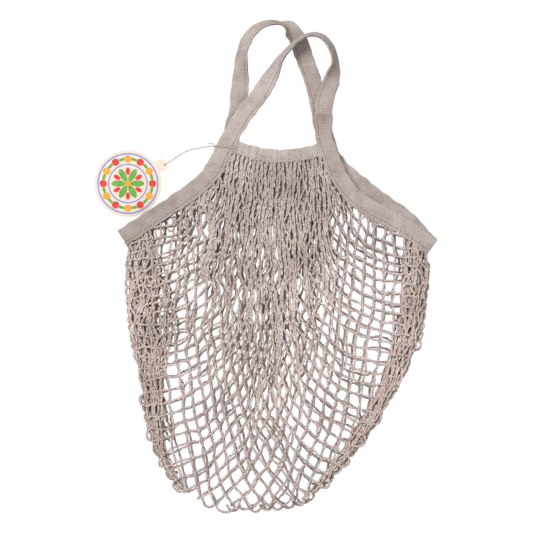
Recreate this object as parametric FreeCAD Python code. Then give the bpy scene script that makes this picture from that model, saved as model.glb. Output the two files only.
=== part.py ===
import FreeCAD, Part
import math
import os
from FreeCAD import Vector

# Net shopping bag of knitted cotton, with folded tape round its mouth and two tape handles, lying flat.
# Frame: X to the right and Y towards the handles, in the plane that the bag lies on, and Z up through
# its thickness. The origin is the middle of its footprint, on that plane. All sizes are in millimetres.

# Tape
tape_width = 17.5
tape_leaf = 0.8
fold_wall = 1.0
tape_steps = 12
handle_thickness = 1.8
band_width = 13.0
handle_stations = 40
lap_length = 15.0
lap_thickness = 0.7

# Net
net_thickness = 1.2
strand_width = 2.0
net_columns = 13
net_rows = 9
net_side_margin = 0.012
net_top_margin = 0.022
net_bottom_margin = 0.012
smallest_opening = 12.0

# Thickness through the bag
seat_clearance = 0.1
layer_gap = 8.0
running_clearance = 0.3

# Closing pieces between the two layers
left_gather_width = 16.0
right_gather_width = 24.0
gather_sides = 12
loop_depth = 5.0
loop_count = 26
loop_steps = 4
tack_length = 13.0

# Tag and its string
string_diameter = 1.0
string_sides = 8
loop_bend = 1.3
loop_clearance = 0.5
tag_diameter = 67.0
tag_thickness = 0.6
ear_radius = 6.5
ear_hole_radius = 1.7

# Heights that follow from them
layer_height = 2 * tape_leaf + net_thickness + 2 * seat_clearance
front_level = layer_height + layer_gap
back_middle = layer_height / 2
front_middle = front_level + layer_height / 2
back_net_top = tape_leaf + 2 * seat_clearance + net_thickness
between_layers = front_level + tape_leaf - back_net_top
over_back = handle_thickness + 2 * running_clearance

# Y of the line where the handles fold on the bag
fold_line = 128.0

# Middle lines of the tapes, from the corners to the handles on the left and back down on the right
left_route = [(-155.5, 28), (-134, 42), (-110, 58), (-84, 76), (-67, 92), (-56, 112), (-47, 130), (-38, 146)]
front_right_route = [(44, 146), (46.5, 128), (54, 106), (63.5, 85), (77.5, 68.5), (97, 55), (125.5, 39.5),
                     (154, 19)]
back_right_route = [(42, 146), (46, 128), (54, 111), (64, 97), (78.5, 85), (98, 69), (128, 47.5), (153.5, 21)]
band_route = [(-49, 121), (-40, 117), (-20, 112), (2, 109.5), (24, 111.5), (42, 116), (50, 119)]

# Edge of the net: along the mouth inside the tape, and along the bottom from left to right
net_mouth = [(-150, 27), (-134, 41), (-110, 57), (-84, 74.5), (-66, 90), (-54, 107), (-40, 113), (-20, 109),
             (2, 107), (24, 109), (42, 112.5), (54, 103), (63.5, 84), (77.5, 67), (97, 53.5), (125.5, 38),
             (151, 20)]
net_left_side = [(-150, 27), (-151, -10), (-150, -48), (-142, -98), (-137, -142), (-137, -162)]
net_bottom = [(-137, -162), (-130, -176), (-113, -205), (-97, -228), (-70, -243), (-22, -247), (19, -243),
              (45, -227), (68, -204), (92, -174), (112, -143), (126, -118)]
net_right_side = [(126, -118), (139, -80), (146, -44), (150, -14), (151, 20)]

# Middle lines of the gathers between the layers: x, y and share of the full width
left_gather = [(-139, 20, 0.5), (-138, -10, 0.9), (-137, -50, 1.0), (-131, -95, 1.0), (-127, -135, 0.7),
               (-124, -152, 0.4)]
right_gather = [(141, 7, 0.35), (136, -15, 0.8), (131, -50, 1.0), (121, -85, 0.9), (102, -125, 0.5)]

# Handles: x, y, height of the lowest edge, and roll from flat towards standing on edge, in degrees
leg_drop = 2.4
front_handle_route = [
    (-34.5, 151, front_level - leg_drop, 0),
    (-19, 171, over_back + 2.6, -6),
    (-6, 192, 2.0, -36),
    (4, 209, 3.2, -66),
    (20, 225.5, over_back + 1.8, -74),
    (33.5, 231.5, over_back, -70),
    (45.5, 228.5, 1.4, -66),
    (54, 217.5, 0.6, -66),
    (57.5, 203, 0.6, -62),
    (53.5, 185, over_back, -22),
    (47.5, 168, over_back + 1.4, 0),
    (45.5, 151, front_level - leg_drop, 0),
]
back_handle_route = [
    (-40.5, 156, 0, 0),
    (-38.5, 176, 0, -3),
    (-37.2, 196, 0, -36),
    (-36.0, 214, 0, -50),
    (-30.5, 228.5, 0, -50),
    (-20.5, 239, 0, -57),
    (-8, 243.6, 0, -66),
    (5, 242.3, 0, -68),
    (13.5, 236.5, 0, -22),
    (20.5, 226.5, 0, 0),
    (28, 206, 0, 0),
    (36, 184, 0, 0),
    (42, 158, 0, 0),
]
handle_feet = (-47.7, 46.3)
lap_middle = (45.5, 151)

# String and tag
loop_x = -51.0
loop_y = 120.0
string_route = [
    (-64.0, loop_y, front_middle), (-70.5, 119.3, 10.9), (-77.5, 118.2, 8.0), (-84.5, 117.6, 5.4),
    (-92.0, 115.4, 3.5), (-99.5, 111.3, 2.4), (-106.5, 106.4, 1.85), (-112.4, 102.8, 1.75),
    (-116.2, 101.3, 1.3),
]
tag_centre = (-151.0, 83.0)
ear_centre = (-118.4, 101.2)
hole_centre = (-116.4, 101.2)


def plane_curve(points):
    """Smooth curve through points of the ground plane."""
    curve = Part.BSplineCurve()
    curve.interpolate([Vector(x, y, 0) for x, y in points])
    return curve


def spread(curve, share):
    """Point of a curve at a share of its run."""
    return curve.value(curve.FirstParameter + (curve.LastParameter - curve.FirstParameter) * share)


def beside(curve, distance, steps):
    """Points along a curve, moved to its left by the distance."""
    points = []
    for step in range(steps + 1):
        place = curve.FirstParameter + (curve.LastParameter - curve.FirstParameter) * step / steps
        along = curve.tangent(place)[0]
        points.append(curve.value(place) + Vector(-along.y, along.x, 0) * distance)
    return points


def outline(points):
    return Part.makePolygon(points + points[:1])


def slab(wires, low, height):
    """Upright prism on a closed outline, less the openings in it."""
    face = Part.makeFace(Part.makeCompound(wires), "Part::FaceMakerBullseye")
    solid = face.extrude(Vector(0, 0, height))
    solid.translate(Vector(0, 0, low))
    return solid.Solids[0]


def strip(curve, right, left, steps=tape_steps):
    """Outline of a flat strip along a curve, from its right side to its left."""
    return outline(beside(curve, right, steps) + beside(curve, left, steps)[::-1])


def skin(rings, closed=False):
    """Solid over matching outlines, one after another, in flat facets."""
    count = len(rings[0])
    facets = []
    for near, far in zip(rings, rings[1:] + (rings[:1] if closed else [])):
        for index in range(count):
            after = (index + 1) % count
            facets.append([near[index], near[after], far[after]])
            facets.append([near[index], far[after], far[index]])
    if not closed:
        facets += [rings[0], rings[-1]]
    shell = Part.makeShell([Part.Face(outline(facet)) for facet in facets])
    shell.sewShape()
    solid = Part.Solid(shell)
    if solid.Volume < 0:
        solid.reverse()
    return solid


def folded_tape(points, width, level):
    """Tape folded over the net's edge: two leaves, a fold along the mouth and a slot for the net."""
    curve = plane_curve(points)
    body = slab([strip(curve, -width / 2, width / 2)], level, layer_height)
    slot = [strip(curve, -width / 2 - 1, width / 2 - fold_wall)]
    return body.cut(slab(slot, level + tape_leaf, net_thickness + 2 * seat_clearance))


def binding(points, level):
    """Tape from a corner up to the line that the handles fold on."""
    tape = folded_tape(points, tape_width, level)
    box = tape.BoundBox
    beyond = Part.makeBox(box.XLength + 2, box.YLength, layer_height + 2,
                          Vector(box.XMin - 1, fold_line, level - 1))
    return tape.cut(beyond)


def band(level, right_route):
    """Gathered tape between a handle's legs, clear of both and of the string's turn."""
    reach = tape_width / 2 + string_diameter + 3 * loop_clearance
    shape = folded_tape(band_route, band_width, level)
    for route in (left_route, right_route):
        leg = strip(plane_curve(route), -reach, reach)
        shape = shape.cut(slab([leg], level - 1, layer_height + 2))
    return max(shape.Solids, key=lambda solid: solid.Volume)


class NetPlan:
    """Where a place in the knitting lies when the net hangs fanned out from its gathered middle."""

    def __init__(self):
        self.mouth = plane_curve(net_mouth)
        self.bottom = plane_curve(net_bottom)

    def place(self, across, down):
        top = spread(self.mouth, across)
        low = spread(self.bottom, across)
        return top + (low - top) * down


def inset(corners, distance):
    """Corners of a convex outline moved inwards, each side by the distance, or None if nothing is left."""
    middle = Vector()
    for corner in corners:
        middle = middle + corner * (1 / len(corners))
    sides = []
    for index, corner in enumerate(corners):
        along = corners[(index + 1) % len(corners)] - corner
        normal = Vector(-along.y, along.x, 0).normalize()
        if normal.dot(middle - corner) < 0:
            normal = normal * -1
        sides.append((normal, normal.dot(corner) + distance))
    moved = []
    for index, (normal, reach) in enumerate(sides):
        before, reach_before = sides[index - 1]
        cross = before.x * normal.y - before.y * normal.x
        if abs(cross) < 0.05:
            return None
        x = (reach_before * normal.y - reach * before.y) / cross
        y = (before.x * reach - normal.x * reach_before) / cross
        moved.append(Vector(x, y, 0))
    for corner in moved:
        for normal, reach in sides:
            if normal.dot(corner) < reach - 0.01:
                return None
    return moved


def opening(plan, places):
    """One opening between strands, or None where the strands close it."""
    corners = inset([plan.place(across, down) for across, down in places], strand_width / 2)
    if corners is None:
        return None
    wire = outline(corners)
    return wire if Part.Face(wire).Area > smallest_opening else None


def mesh_openings():
    """Diamond openings in staggered rows that fan out from the band, and half ones along the sides."""
    plan = NetPlan()
    half_across = (1 - 2 * net_side_margin) / net_columns / 2
    half_down = (1 - net_top_margin - net_bottom_margin) / net_rows / 2
    openings = []
    for row in range(2 * net_rows - 1):
        down = net_top_margin + half_down * (row + 1)
        stagger = row % 2
        for column in range(net_columns - stagger):
            across = net_side_margin + half_across * (2 * column + 1 + stagger)
            left, right = (across - half_across, down), (across + half_across, down)
            above, below = (across, down - half_down), (across, down + half_down)
            openings.append(opening(plan, [left, above, right, below]))
        if stagger:
            for side, inwards in ((net_side_margin, half_across), (1 - net_side_margin, -half_across)):
                tips = [(side, down - half_down), (side + inwards, down), (side, down + half_down)]
                openings.append(opening(plan, tips))
    return [wire for wire in openings if wire]


def net_layer(level):
    """One layer of net, edged by the tape at the mouth and by the closing loops below."""
    edge = []
    for points, steps in ((net_mouth, 24), (net_right_side[::-1], 6), (net_bottom[::-1], 18),
                          (net_left_side[::-1], 6)):
        edge += beside(plane_curve(points), 0, steps)[:-1]
    return slab([outline(edge)] + mesh_openings(), level + tape_leaf + seat_clearance, net_thickness)


def gather(stations, width):
    """Bunched net along a side, between the two layers, as a soft bundle of oval section."""
    curve = plane_curve([(x, y) for x, y, share in stations])
    rings = []
    for x, y, share in stations:
        along = curve.tangent(curve.parameter(Vector(x, y, 0)))[0]
        across = Vector(-along.y, along.x, 0) * (width * share / 2)
        upwards = Vector(0, 0, between_layers / 2)
        middle = Vector(x, y, back_net_top + between_layers / 2)
        turns = [2 * math.pi * side / gather_sides for side in range(gather_sides)]
        rings.append([middle + across * math.cos(turn) + upwards * math.sin(turn) for turn in turns])
    return skin(rings)


def bottom_loops():
    """Row of closing loops between the layers, scalloped on its outer side."""
    curve = plane_curve(net_bottom)
    knots = beside(curve, loop_depth / 2, loop_count)
    edge = []
    for start, end in zip(knots, knots[1:]):
        chord = end - start
        outwards = Vector(chord.y, -chord.x, 0).normalize() * (loop_depth / 2)
        for step in range(loop_steps):
            turn = math.pi * step / loop_steps
            edge.append(start + chord * ((1 - math.cos(turn)) / 2) + outwards * math.sin(turn))
    edge += [knots[-1]] + beside(curve, loop_depth, tape_steps)[::-1]
    return slab([outline(edge)], back_net_top, between_layers)


def corner_tack(points, at_start):
    """Sewn end where the front and the back tape meet, between the two."""
    piece = plane_curve(points)
    length = piece.length()
    first = piece.parameterAtDistance(0 if at_start else length - tack_length)
    last = piece.parameterAtDistance(tack_length if at_start else length)
    piece.segment(first, last)
    half = tape_width / 2 - running_clearance
    low = layer_height + seat_clearance
    return slab([strip(piece, -half, half, 3)], low, layer_gap - 2 * seat_clearance)


def tape_section(centre, along, roll, width, thickness):
    """Rectangle across a tape's run, turned by its roll."""
    side = Vector(-along.y, along.x, 0).normalize()
    up = along.cross(side)
    turn = math.radians(roll)
    across = side * math.cos(turn) + up * math.sin(turn)
    through = along.cross(across)
    corners = []
    for wide, thick in ((-1, -1), (1, -1), (1, 1), (-1, 1)):
        corners.append(centre + across * (wide * width / 2) + through * (thick * thickness / 2))
    return corners


def foot_section(x, height, slant):
    """Rectangle in the plane of the fold line, where the tape's leg is cut on the slant."""
    side = -1 if x < 0 else 1
    half = tape_width / slant / 2
    corners = []
    for wide, thick in ((-1, -1), (1, -1), (1, 1), (-1, 1)):
        place = Vector(x + side * wide * half, fold_line + running_clearance, height)
        corners.append(place + Vector(0, 0, thick * handle_thickness / 2))
    return corners


def handle_line(route, height):
    """Middle line of a handle, with its roll, at even places from its left foot to its right one."""
    foot_lift = height - handle_thickness / 2
    feet = [(x, fold_line, foot_lift, 0) for x in handle_feet]
    stations = feet[:1] + route + feet[1:]
    plan = plane_curve([(x, y) for x, y, lift, roll in stations])
    places = [plan.parameter(Vector(x, y, 0)) for x, y, lift, roll in stations]
    line = []
    for step in range(handle_stations + 1):
        place = plan.parameterAtDistance(plan.length() * step / handle_stations)
        nearest = min(sum(place > known for known in places[1:]), len(places) - 2)
        share = (place - places[nearest]) / (places[nearest + 1] - places[nearest])
        start, end = stations[nearest], stations[nearest + 1]
        lift = start[2] + (end[2] - start[2]) * share
        roll = start[3] + (end[3] - start[3]) * share
        turn = math.radians(roll)
        rise = tape_width / 2 * abs(math.sin(turn)) + handle_thickness / 2 * math.cos(turn)
        line.append((plan.value(place) + Vector(0, 0, lift + rise), roll))
    return line


def handle(route, height):
    """Folded tape that lies flat on its legs and stands on edge round the top of the loop."""
    line = handle_line(route, height)
    rings = []
    for before, here, after in zip(line, line[1:], line[2:]):
        along = (after[0] - before[0]).normalize()
        rings.append(tape_section(here[0], along, here[1], tape_width, handle_thickness))
    feet = []
    for end, beyond in ((0, 1), (-1, -2)):
        along = line[beyond][0] - line[end][0]
        slant = abs(along.y) / math.hypot(along.x, along.y)
        feet.append(foot_section(line[end][0].x, height, slant))
    return skin([feet[0]] + rings[1:-1] + [feet[1]])


def handle_lap():
    """Second layer of tape where the front handle's two lengths are joined, on its right leg."""
    line = [place for place, roll in handle_line(front_handle_route, front_middle)]
    middle = Vector(*lap_middle, 0)
    nearest = min(line, key=lambda place: (Vector(place.x, place.y, 0) - middle).Length)
    index = line.index(nearest)
    along = (line[index + 1] - line[index - 1]).normalize()
    lift = along.cross(Vector(-along.y, along.x, 0).normalize())
    centre = nearest + lift * (handle_thickness / 2 + 3 * seat_clearance + lap_thickness / 2)
    rings = []
    for end in (-lap_length / 2, lap_length / 2):
        rings.append(tape_section(centre + along * end, along, 0, tape_width, lap_thickness))
    return skin(rings)


def thread_ring(centre, along, upwards):
    """Outline of the string across its run."""
    side = along.cross(upwards).normalize()
    lift = side.cross(along).normalize()
    turns = [2 * math.pi * index / string_sides for index in range(string_sides)]
    radius = string_diameter / 2
    return [centre + (side * math.cos(turn) + lift * math.sin(turn)) * radius for turn in turns]


def string_loop():
    """Turn of the string round the front handle's left leg, just under the fold line."""
    curve = plane_curve(left_route)
    middle = curve.value(curve.parameter(Vector(loop_x, loop_y, 0)))
    along = curve.tangent(curve.parameter(middle))[0]
    centre_x = middle.x + along.x * (loop_y - middle.y) / along.y
    slanted = string_diameter / 2 * abs(along.x / along.y)
    stand_off = string_diameter / 2 + loop_clearance
    half_width = tape_width / 2 / abs(along.y) + slanted + stand_off - loop_bend
    half_height = layer_height / 2 + stand_off - loop_bend
    rings = []
    for quarter in range(4):
        for eighth in (0, 1, 2):
            turn = math.pi / 2 * quarter + math.pi / 4 * eighth
            corner_x = half_width * (1 if quarter in (0, 3) else -1)
            corner_z = half_height * (1 if quarter in (0, 1) else -1)
            centre = Vector(centre_x + corner_x + loop_bend * math.cos(turn), loop_y,
                            front_middle + corner_z + loop_bend * math.sin(turn))
            rings.append(thread_ring(centre, Vector(-math.sin(turn), 0, math.cos(turn)), Vector(0, 1, 0)))
    return skin(rings, closed=True)


def string_path():
    """Straight runs joined by tangent arcs, each arc as large as its two runs allow."""
    points = [Vector(*point) for point in string_route]
    edges = []
    start = points[0]
    for before, corner, after in zip(points, points[1:], points[2:]):
        run_in = (corner - before)
        run_out = (after - corner)
        shorter = min(run_in.Length, run_out.Length)
        half_turn = run_in.getAngle(run_out) / 2
        back_off = 0.45 * shorter
        radius = back_off / math.tan(half_turn)
        print("string arc radius", round(radius, 1), "mm")
        first = corner - run_in.normalize() * back_off
        last = corner + run_out.normalize() * back_off
        bisector = (first + last) * 0.5 - corner
        reach = radius / math.cos(half_turn) - radius
        crown = corner + bisector.normalize() * reach
        edges.append(Part.makeLine(start, first))
        edges.append(Part.Arc(first, crown, last).toShape())
        start = last
    edges.append(Part.makeLine(start, points[-1]))
    return Part.Wire(edges)


def tag_string():
    path = string_path()
    first = path.Edges[0]
    along = first.tangentAt(first.FirstParameter)
    section = outline(thread_ring(Vector(*string_route[0]), along, Vector(0, 0, 1)))
    solid = path.makePipeShell([section], True, False)
    expected = Part.Face(section).Area * path.Length
    print("string length", round(path.Length, 1), "mm, volume share", round(solid.Volume / expected, 4))
    return solid


def swing_tag():
    """Round card with a punched ear."""
    card = Part.makeCylinder(tag_diameter / 2, tag_thickness, Vector(*tag_centre, 0))
    ear = Part.makeCylinder(ear_radius, tag_thickness, Vector(*ear_centre, 0))
    hole = Part.makeCylinder(ear_hole_radius, tag_thickness + 2, Vector(*hole_centre, -1))
    return card.fuse(ear).removeSplitter().cut(hole)


def build():
    return {
        "front_net": net_layer(front_level),
        "back_net": net_layer(0),
        "left_side_gather": gather(left_gather, left_gather_width),
        "right_side_gather": gather(right_gather, right_gather_width),
        "bottom_loops": bottom_loops(),
        "front_band": band(front_level, front_right_route),
        "back_band": band(0, back_right_route),
        "front_left_binding": binding(left_route, front_level),
        "front_right_binding": binding(front_right_route, front_level),
        "back_left_binding": binding(left_route, 0),
        "back_right_binding": binding(back_right_route, 0),
        "left_corner_tack": corner_tack(left_route, True),
        "right_corner_tack": corner_tack(front_right_route, False),
        "front_handle": handle(front_handle_route, front_middle),
        "front_handle_lap": handle_lap(),
        "back_handle": handle(back_handle_route, back_middle),
        "string_loop": string_loop(),
        "tag_string": tag_string(),
        "swing_tag": swing_tag(),
    }


os.makedirs("parts", exist_ok=True)
for name, shape in build().items():
    print(name, "solids", len(shape.Solids), "valid", shape.isValid(), "volume", round(shape.Volume))
    shape.exportStep("parts/" + name + ".step")
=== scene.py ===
import math

import bmesh
import bpy
import numpy as np
from mathutils import Matrix, Vector, noise


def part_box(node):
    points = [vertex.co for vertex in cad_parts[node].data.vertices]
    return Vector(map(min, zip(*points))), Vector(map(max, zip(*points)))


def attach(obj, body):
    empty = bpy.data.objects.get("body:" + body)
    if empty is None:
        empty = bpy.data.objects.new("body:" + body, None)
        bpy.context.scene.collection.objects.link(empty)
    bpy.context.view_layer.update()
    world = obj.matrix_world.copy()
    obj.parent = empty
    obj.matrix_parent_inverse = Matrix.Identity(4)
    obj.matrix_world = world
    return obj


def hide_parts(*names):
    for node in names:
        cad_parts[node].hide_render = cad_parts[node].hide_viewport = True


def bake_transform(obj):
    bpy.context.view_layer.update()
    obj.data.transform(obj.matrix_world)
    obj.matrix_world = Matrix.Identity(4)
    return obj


# Net shopping bag of knitted cotton, lying flat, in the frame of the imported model.
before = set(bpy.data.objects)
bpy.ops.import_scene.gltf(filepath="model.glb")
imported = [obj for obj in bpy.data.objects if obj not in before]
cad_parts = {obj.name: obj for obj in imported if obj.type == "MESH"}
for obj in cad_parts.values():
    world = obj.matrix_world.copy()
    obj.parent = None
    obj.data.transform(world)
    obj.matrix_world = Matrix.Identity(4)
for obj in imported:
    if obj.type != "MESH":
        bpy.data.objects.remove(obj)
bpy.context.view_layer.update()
MM = 0.001
TINY = 1e-6

# Tapes: widths, heights through them, and the heights at which the front and back ones lie
TAPE_WIDTH = 17.5
TAPE_HEIGHT = 3.0
HANDLE_THICKNESS = 1.8
BAND_WIDTH = 13.0
BAND_HEIGHT = 2.6
FRONT_MIDDLE = 12.5
BACK_MIDDLE = 1.5
# Step along a tape's mesh, softness of its surface, and pitch, length and breadth of its stitches
TAPE_STEP = 1.2
SOFTNESS = 0.25
STITCH_PITCH = 2.7
STITCH_LENGTH, STITCH_BREADTH = 0.95, 0.32
# Sewn corners: their middle height, the height through both bindings, and their breadth
CORNER_MIDDLE, CORNER_HEIGHT = 7.0, 7.6
CORNER_WIDTH = TAPE_WIDTH - 1.4

# Height of the ground, a little below the bag, in metres
GROUND_LEVEL = -0.0006

# Net thread: radius of a ply, how far each ply lies from the middle, and the length of a turn of its twist
THREAD = 0.85
APART = 0.68
TURN = 15.0
SLACK_LOOP_THREAD = 0.55

# Heights of the net's layers, of its slack folds between them and of the chains of its bunches
FRONT_NET = 12.4
BACK_NET = 1.5
GATHERED_LEVEL = 9.2
LEFT_ROPE_LEVEL = 12.6
SLACK_ROPE_LEVELS = (10.6, 5.0)
BUNCH_LEVELS = (2.6, 5.0, 7.4, 9.6, 11.8)

# Chains: half length of the stitch where two meet, how far each keeps from the middle of it and of a cord,
# how firmly a cord holds them, the breadth over which that eases off, and how far odd ones lie above
STITCH_REACH = 1.2
NODE_GAP = 0.5
CORD_GAP = 0.6
CORD_HOLD = 0.9
CORD_EASE = 1.6
ABOVE = 0.35
# Crinkle and sway of the thread between those stitches
CRINKLE = 2.6
SWAY = 1.7

# Radii of the tag's twine and of the thinner turn of it round the leg
TWINE_RADIUS = 0.5
TURN_RADIUS = 0.42


def linear(code):
    """Colour of a hex sRGB code in linear light."""
    parts = [int(code[i:i + 2], 16) / 255 for i in (0, 2, 4)]
    return tuple(c / 12.92 if c <= 0.04045 else ((c + 0.055) / 1.055) ** 2.4 for c in parts) + (1.0,)


def add(tree, kind, inputs=(), **settings):
    """Node of a kind with its settings and its inputs, each a value or another node's output."""
    node = tree.nodes.new("ShaderNode" + kind)
    for key, value in settings.items():
        setattr(node, key, value)
    for key, value in dict(inputs).items():
        if isinstance(value, bpy.types.NodeSocket):
            tree.links.new(value, node.inputs[key])
        else:
            node.inputs[key].default_value = value
    return node


def shades(tree, factor, stops):
    """Colours spread over a factor, from (place, hex code) pairs."""
    ramp = add(tree, "ValToRGB", {"Fac": factor})
    for index, (place, code) in enumerate(stops):
        stop = ramp.color_ramp.elements[index] if index < 2 else ramp.color_ramp.elements.new(place)
        stop.position = place
        stop.color = linear(code)
    return ramp.outputs["Color"]


def material(name):
    """New material with its tree and its main shader."""
    made = bpy.data.materials.new(name)
    made.use_nodes = True
    tree = made.node_tree
    return made, tree, tree.nodes["Principled BSDF"]


def net_cotton():
    """Two-ply cotton thread, undyed greige: mottled by its twist, fuzzy and matt, with painted shade on the
    flanks and undersides of its threads and towards the gathered top.
    """
    made, tree, shader = material("net_cotton")
    place = add(tree, "TexCoord").outputs["Object"]
    twist = add(tree, "TexNoise", {"Vector": place, "Scale": 760.0, "Detail": 2.0, "Roughness": 0.6})
    lots = add(tree, "TexNoise", {"Vector": place, "Scale": 26.0, "Detail": 2.0})
    mottle = shades(tree, twist.outputs["Fac"], [(0.34, "a99790"), (0.5, "d9cac4"), (0.66, "f7eeea")])
    cast = shades(tree, lots.outputs["Fac"], [(0.35, "e4e0de"), (0.65, "fffefd")])
    both = add(tree, "MixRGB", {"Fac": 1.0, "Color1": mottle, "Color2": cast}, blend_type="MULTIPLY")
    # Painted shade: where the tone attribute is low, on thread flanks and undersides, the colour is
    # darkened to warm brown
    flank = add(tree, "Attribute", attribute_name="tone").outputs["Fac"]
    furrow = shades(tree, flank, [(0.2, "a8755c"), (0.6, "dcc0b2"), (0.9, "ffffff")])
    mottle_and_painted_shade = add(tree, "MixRGB", {"Fac": 1.0, "Color1": both.outputs["Color"], "Color2": furrow},
               blend_type="MULTIPLY")
    # Painted shade: the net's colour darkens a little towards its top, where it is gathered thick below the
    # band
    upper = add(tree, "MapRange", {"Value": add(tree, "SeparateXYZ", {"Vector": place}).outputs["Y"],
                                   "From Min": -0.04, "From Max": 0.06})
    gathered = shades(tree, upper.outputs["Result"], [(0.0, "ffffff"), (1.0, "eaebec")])
    whole = add(tree, "MixRGB", {"Fac": 1.0, "Color1": mottle_and_painted_shade.outputs["Color"], "Color2": gathered},
                blend_type="MULTIPLY")
    bump = add(tree, "Bump", {"Height": twist.outputs["Fac"], "Strength": 0.8, "Distance": 0.0004})
    tree.links.new(whole.outputs["Color"], shader.inputs["Base Color"])
    tree.links.new(bump.outputs["Normal"], shader.inputs["Normal"])
    shader.inputs["Roughness"].default_value = 0.92
    shader.inputs["Specular IOR Level"].default_value = 0.2
    return made


def tape_cotton():
    """Plain-woven cotton tape: warp and weft lines that follow the tape, slubs and washed-in clouding, and
    painted shade on stretches set by the tone attribute.
    """
    made, tree, shader = material("tape_cotton")
    flat = add(tree, "UVMap", uv_map="weave").outputs["UV"]
    place = add(tree, "TexCoord").outputs["Object"]
    weft = add(tree, "TexWave", {"Vector": flat, "Scale": 196.0, "Distortion": 0.8, "Detail": 1.0,
                                 "Detail Scale": 3.0}, bands_direction="Y")
    warp = add(tree, "TexWave", {"Vector": flat, "Scale": 262.0, "Distortion": 0.6, "Detail": 1.0,
                                 "Detail Scale": 3.0}, bands_direction="X")
    slub = add(tree, "TexNoise", {"Vector": flat, "Scale": 520.0, "Detail": 3.0})
    cloud = add(tree, "TexNoise", {"Vector": place, "Scale": 55.0, "Detail": 4.0, "Roughness": 0.6})
    lines = add(tree, "Math", {0: weft.outputs["Fac"], 1: warp.outputs["Fac"]}, operation="ADD")
    cloth = add(tree, "Math", {0: lines.outputs[0], 1: slub.outputs["Fac"]}, operation="ADD")
    weave = add(tree, "Math", {0: cloth.outputs[0], 1: 0.3333}, operation="MULTIPLY")
    body = shades(tree, weave.outputs[0], [(0.22, "9d918b"), (0.5, "c4b9b4"), (0.78, "dfd7d3")])
    cast = shades(tree, cloud.outputs["Fac"], [(0.28, "d3cbc8"), (0.5, "f0ecea"), (0.72, "ffffff")])
    both = add(tree, "MixRGB", {"Fac": 1.0, "Color1": body, "Color2": cast}, blend_type="MULTIPLY")
    # Painted shade: the tone attribute darkens stretches of tape that lie in shade
    tone = add(tree, "Attribute", attribute_name="tone").outputs["Fac"]
    painted_shade = shades(tree, tone, [(0.0, "beb2ac"), (1.0, "ffffff")])
    whole = add(tree, "MixRGB", {"Fac": 1.0, "Color1": both.outputs["Color"], "Color2": painted_shade},
                blend_type="MULTIPLY")
    bump = add(tree, "Bump", {"Height": weave.outputs[0], "Strength": 0.5, "Distance": 0.0003})
    tree.links.new(whole.outputs["Color"], shader.inputs["Base Color"])
    tree.links.new(bump.outputs["Normal"], shader.inputs["Normal"])
    shader.inputs["Roughness"].default_value = 0.9
    shader.inputs["Sheen Weight"].default_value = 0.15
    shader.inputs["Specular IOR Level"].default_value = 0.2
    return made


def seam_thread():
    """Spun sewing thread of the seams, darker than the tape it sinks into: partly the thread's own colour,
    partly painted shade of the needle holes.
    """
    made, tree, shader = material("seam_thread")
    place = add(tree, "TexCoord").outputs["Object"]
    twist = add(tree, "TexNoise", {"Vector": place, "Scale": 1400.0, "Detail": 1.0})
    # Dark thread colour: partly the thread's own, partly painted shade of the needle holes the stitches
    # sink into
    tree.links.new(shades(tree, twist.outputs["Fac"], [(0.35, "51413a"), (0.65, "7d6a62")]),
                   shader.inputs["Base Color"])
    shader.inputs["Roughness"].default_value = 0.8
    return made


def twine():
    """Thin pale cotton twine of the tag."""
    made, tree, shader = material("twine")
    place = add(tree, "TexCoord").outputs["Object"]
    ply = add(tree, "TexNoise", {"Vector": place, "Scale": 900.0, "Detail": 2.0})
    bump = add(tree, "Bump", {"Height": ply.outputs["Fac"], "Strength": 0.7, "Distance": 0.0003})
    tree.links.new(shades(tree, ply.outputs["Fac"], [(0.3, "a99a8d"), (0.6, "d9cec2")]),
                   shader.inputs["Base Color"])
    tree.links.new(bump.outputs["Normal"], shader.inputs["Normal"])
    shader.inputs["Roughness"].default_value = 0.85
    return made


def tag_card():
    """Uncoated cream card with a faint paper grain."""
    made, tree, shader = material("tag_card")
    place = add(tree, "TexCoord").outputs["Object"]
    grain = add(tree, "TexNoise", {"Vector": place, "Scale": 420.0, "Detail": 4.0, "Roughness": 0.7})
    bump = add(tree, "Bump", {"Height": grain.outputs["Fac"], "Strength": 0.15, "Distance": 0.0002})
    tree.links.new(shades(tree, grain.outputs["Fac"], [(0.3, "e9d3c1"), (0.7, "f1decf")]),
                   shader.inputs["Base Color"])
    tree.links.new(bump.outputs["Normal"], shader.inputs["Normal"])
    shader.inputs["Roughness"].default_value = 0.75
    return made


def printed_ink(name, dark, light):
    """Flat printing ink on the card, uneven as ink lies on uncoated paper."""
    made, tree, shader = material(name)
    place = add(tree, "TexCoord").outputs["Object"]
    grain = add(tree, "TexNoise", {"Vector": place, "Scale": 330.0, "Detail": 3.0})
    tree.links.new(shades(tree, grain.outputs["Fac"], [(0.35, dark), (0.65, light)]),
                   shader.inputs["Base Color"])
    shader.inputs["Roughness"].default_value = 0.6
    return made


def show(name, mesh, materials, body=None):
    """Object of a mesh, with its materials and the body that it rides on."""
    piece = bpy.data.objects.new(name, mesh)
    bpy.context.scene.collection.objects.link(piece)
    for made in materials:
        mesh.materials.append(made)
    if body:
        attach(piece, body)
    return piece


def clamped(value):
    """A value kept between 0 and 1."""
    return min(1.0, max(0.0, value))


def unit(vector):
    """Direction of a vector."""
    return vector / max(np.linalg.norm(vector), TINY)


def run_along(points):
    """How far along a line each of its points is."""
    return np.concatenate([[0], np.cumsum(np.linalg.norm(np.diff(points, axis=0), axis=1))])


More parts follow.
